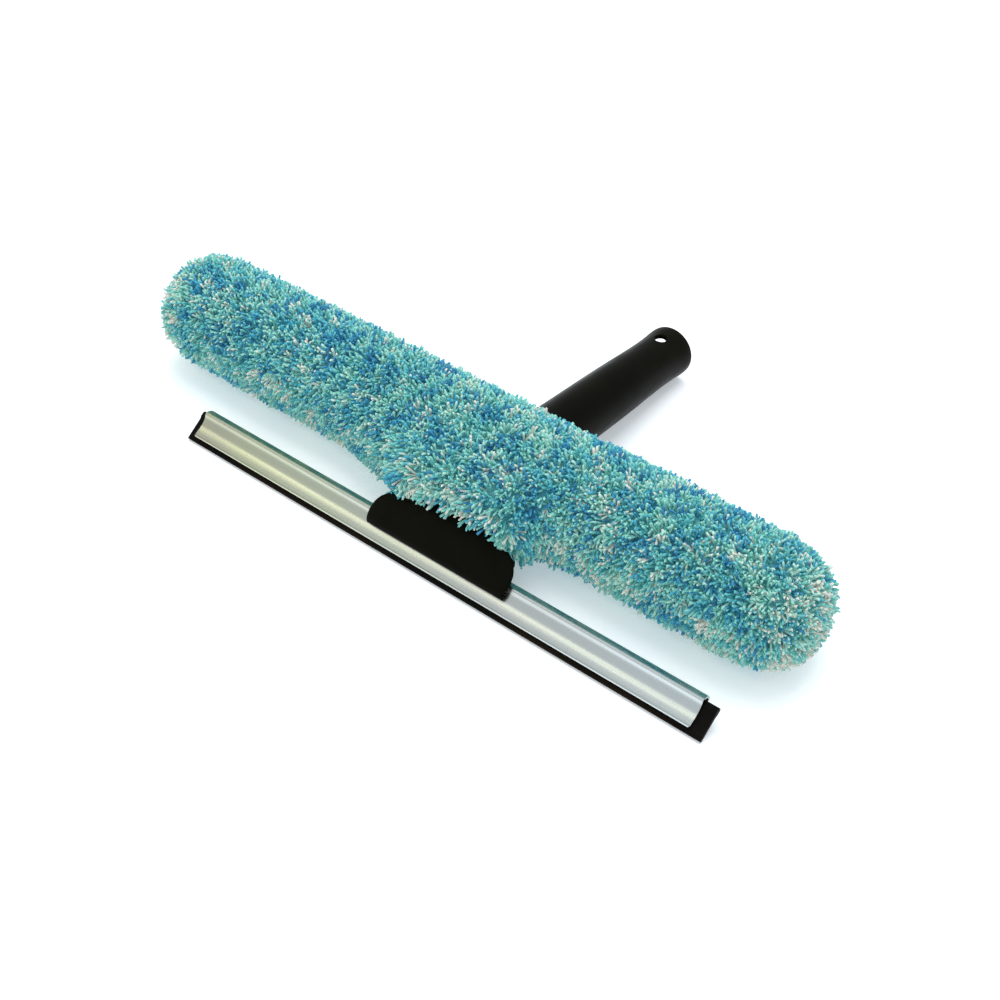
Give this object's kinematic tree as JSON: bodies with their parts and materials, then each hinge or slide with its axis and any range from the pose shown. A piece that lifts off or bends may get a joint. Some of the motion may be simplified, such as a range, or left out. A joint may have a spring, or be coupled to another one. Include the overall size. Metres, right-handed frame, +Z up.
{
  "type": "window cleaning squeegee",
  "caption": "Window washer and squeegee in one: a microfibre sleeve on a cross bar, an aluminium channel with a rubber blade clamped in front, and a hollow handle that takes a pole.",
  "frame": {"origin": "on the surface it lies on, under the middle of the whole tool", "axes": "+X along the bar and the blade, +Y from the head to the butt of the handle, +Z up"},
  "size_m": [0.4474, 0.23, 0.0658],
  "materials": {
    "handle_black": "satin black polypropylene, slight sheen",
    "head_black": "black moulded plastic, fine matt grain",
    "screw_steel": "zinc plated steel",
    "nut_brass": "machined brass",
    "bar_plastic": "dark grey moulded plastic",
    "microfibre_pile": "deep twisted microfibre pile, aqua, teal, blue and white yarns mixed",
    "woven_backing": "plain woven polyester",
    "binding_tape": "folded blue edge tape",
    "hook_tape": "moulded nylon hooks on tape",
    "loop_tape": "brushed nylon loops on tape",
    "channel_aluminium": "satin extruded aluminium",
    "blade_rubber": "soft black rubber with a brownish bloom on its lip"
  },
  "bodies": {
    "head": {"head_hub": "head_black", "handle_grip": "handle_black", "handle_screw": "screw_steel", "cross_bar": "bar_plastic", "bar_cap_left": "bar_plastic", "bar_cap_right": "bar_plastic", "bar_lock_screw": "screw_steel", "jaw_nut_left": "nut_brass", "jaw_nut_right": "nut_brass", "sleeve_pile": "microfibre_pile", "sleeve_backing": "woven_backing", "sleeve_end_left": "woven_backing", "sleeve_end_right": "woven_backing", "slit_binding_front": "binding_tape", "slit_binding_rear": "binding_tape", "hook_tape_left": "hook_tape", "hook_tape_right": "hook_tape", "loop_tape_left": "loop_tape", "loop_tape_right": "loop_tape"},
    "clamp_jaw": {"lower_jaw": "head_black", "jaw_screw_left": "screw_steel", "jaw_screw_right": "screw_steel"},
    "squeegee_channel": {"blade_channel": "channel_aluminium"},
    "rubber": {"rubber_blade": "blade_rubber"}
  },
  "joints": [
    {"name": "jaw_release", "type": "slide", "parent": "head", "child": "clamp_jaw", "axis": [0, 0.549, -0.8358], "range_m": [0, 0.0015]},
    {"name": "channel_slide", "type": "slide", "parent": "head", "child": "squeegee_channel", "axis": [1, 0, 0], "range_m": [-0.11, 0.11]},
    {"name": "rubber_slide", "type": "slide", "parent": "squeegee_channel", "child": "rubber", "axis": [1, 0, 0], "range_m": [-0.008, 0.06]}
  ]
}
